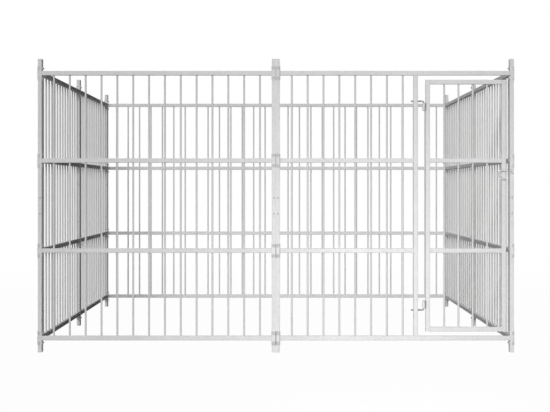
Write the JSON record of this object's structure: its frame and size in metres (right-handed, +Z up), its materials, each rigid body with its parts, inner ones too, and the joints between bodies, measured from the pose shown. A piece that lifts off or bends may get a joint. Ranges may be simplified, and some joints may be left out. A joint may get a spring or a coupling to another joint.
{
  "type": "outdoor dog kennel run",
  "caption": "Square outdoor dog kennel run of bolted galvanised bar panels with square posts, open top, and a hinged barred door with a slide bolt.",
  "frame": {"origin": "on the ground, at the middle of the pen's footprint", "axes": "+Z up, door side faces -Y, +X to the right when facing the door"},
  "size_m": [3.0102, 3.0244, 1.85],
  "materials": {
    "galvanised_steel": "hot-dip galvanised, matt light grey",
    "zinc_plated_steel": "electro zinc plated, satin grey",
    "end_plug_plastic": "moulded polyethylene, light grey"
  },
  "bodies": {
    "root": {"front_left_posts": "galvanised_steel", "front_left_rails": "galvanised_steel", "front_left_bars": "galvanised_steel", "front_right_posts": "galvanised_steel", "front_right_rails": "galvanised_steel", "front_right_bars": "galvanised_steel", "back_left_posts": "galvanised_steel", "back_left_rails": "galvanised_steel", "back_left_bars": "galvanised_steel", "back_right_posts": "galvanised_steel", "back_right_rails": "galvanised_steel", "back_right_bars": "galvanised_steel", "left_front_posts": "galvanised_steel", "left_front_rails": "galvanised_steel", "left_front_bars": "galvanised_steel", "left_back_posts": "galvanised_steel", "left_back_rails": "galvanised_steel", "left_back_bars": "galvanised_steel", "right_front_posts": "galvanised_steel", "right_front_rails": "galvanised_steel", "right_front_bars": "galvanised_steel", "right_back_posts": "galvanised_steel", "right_back_rails": "galvanised_steel", "right_back_bars": "galvanised_steel", "post_caps": "end_plug_plastic", "post_feet": "end_plug_plastic", "front_joint_plates": "galvanised_steel", "front_joint_bolts": "zinc_plated_steel", "front_joint_washers": "zinc_plated_steel", "front_joint_nuts": "zinc_plated_steel", "back_joint_plates": "galvanised_steel", "back_joint_bolts": "zinc_plated_steel", "back_joint_washers": "zinc_plated_steel", "back_joint_nuts": "zinc_plated_steel", "left_joint_plates": "galvanised_steel", "left_joint_bolts": "zinc_plated_steel", "left_joint_washers": "zinc_plated_steel", "left_joint_nuts": "zinc_plated_steel", "right_joint_plates": "galvanised_steel", "right_joint_bolts": "zinc_plated_steel", "right_joint_washers": "zinc_plated_steel", "right_joint_nuts": "zinc_plated_steel", "door_jamb": "galvanised_steel", "hinge_hooks": "zinc_plated_steel", "hook_nuts": "zinc_plated_steel", "keeper_plate": "galvanised_steel", "keeper_staple": "galvanised_steel"},
    "door": {"door_stiles": "galvanised_steel", "door_rails": "galvanised_steel", "door_bars": "galvanised_steel", "hinge_sleeves": "galvanised_steel", "latch_plate": "galvanised_steel", "latch_guides": "galvanised_steel"},
    "latch_bolt": {"latch_bolt": "zinc_plated_steel"}
  },
  "joints": [
    {"name": "door_swing", "type": "hinge", "parent": "root", "child": "door", "pos_m": [0.9334, -1.489, 0], "axis": [0, 0, -1], "range_deg": [-110, 110]},
    {"name": "latch_slide", "type": "slide", "parent": "door", "child": "latch_bolt", "axis": [1, 0, 0], "range_m": [0, 0.028]}
  ]
}
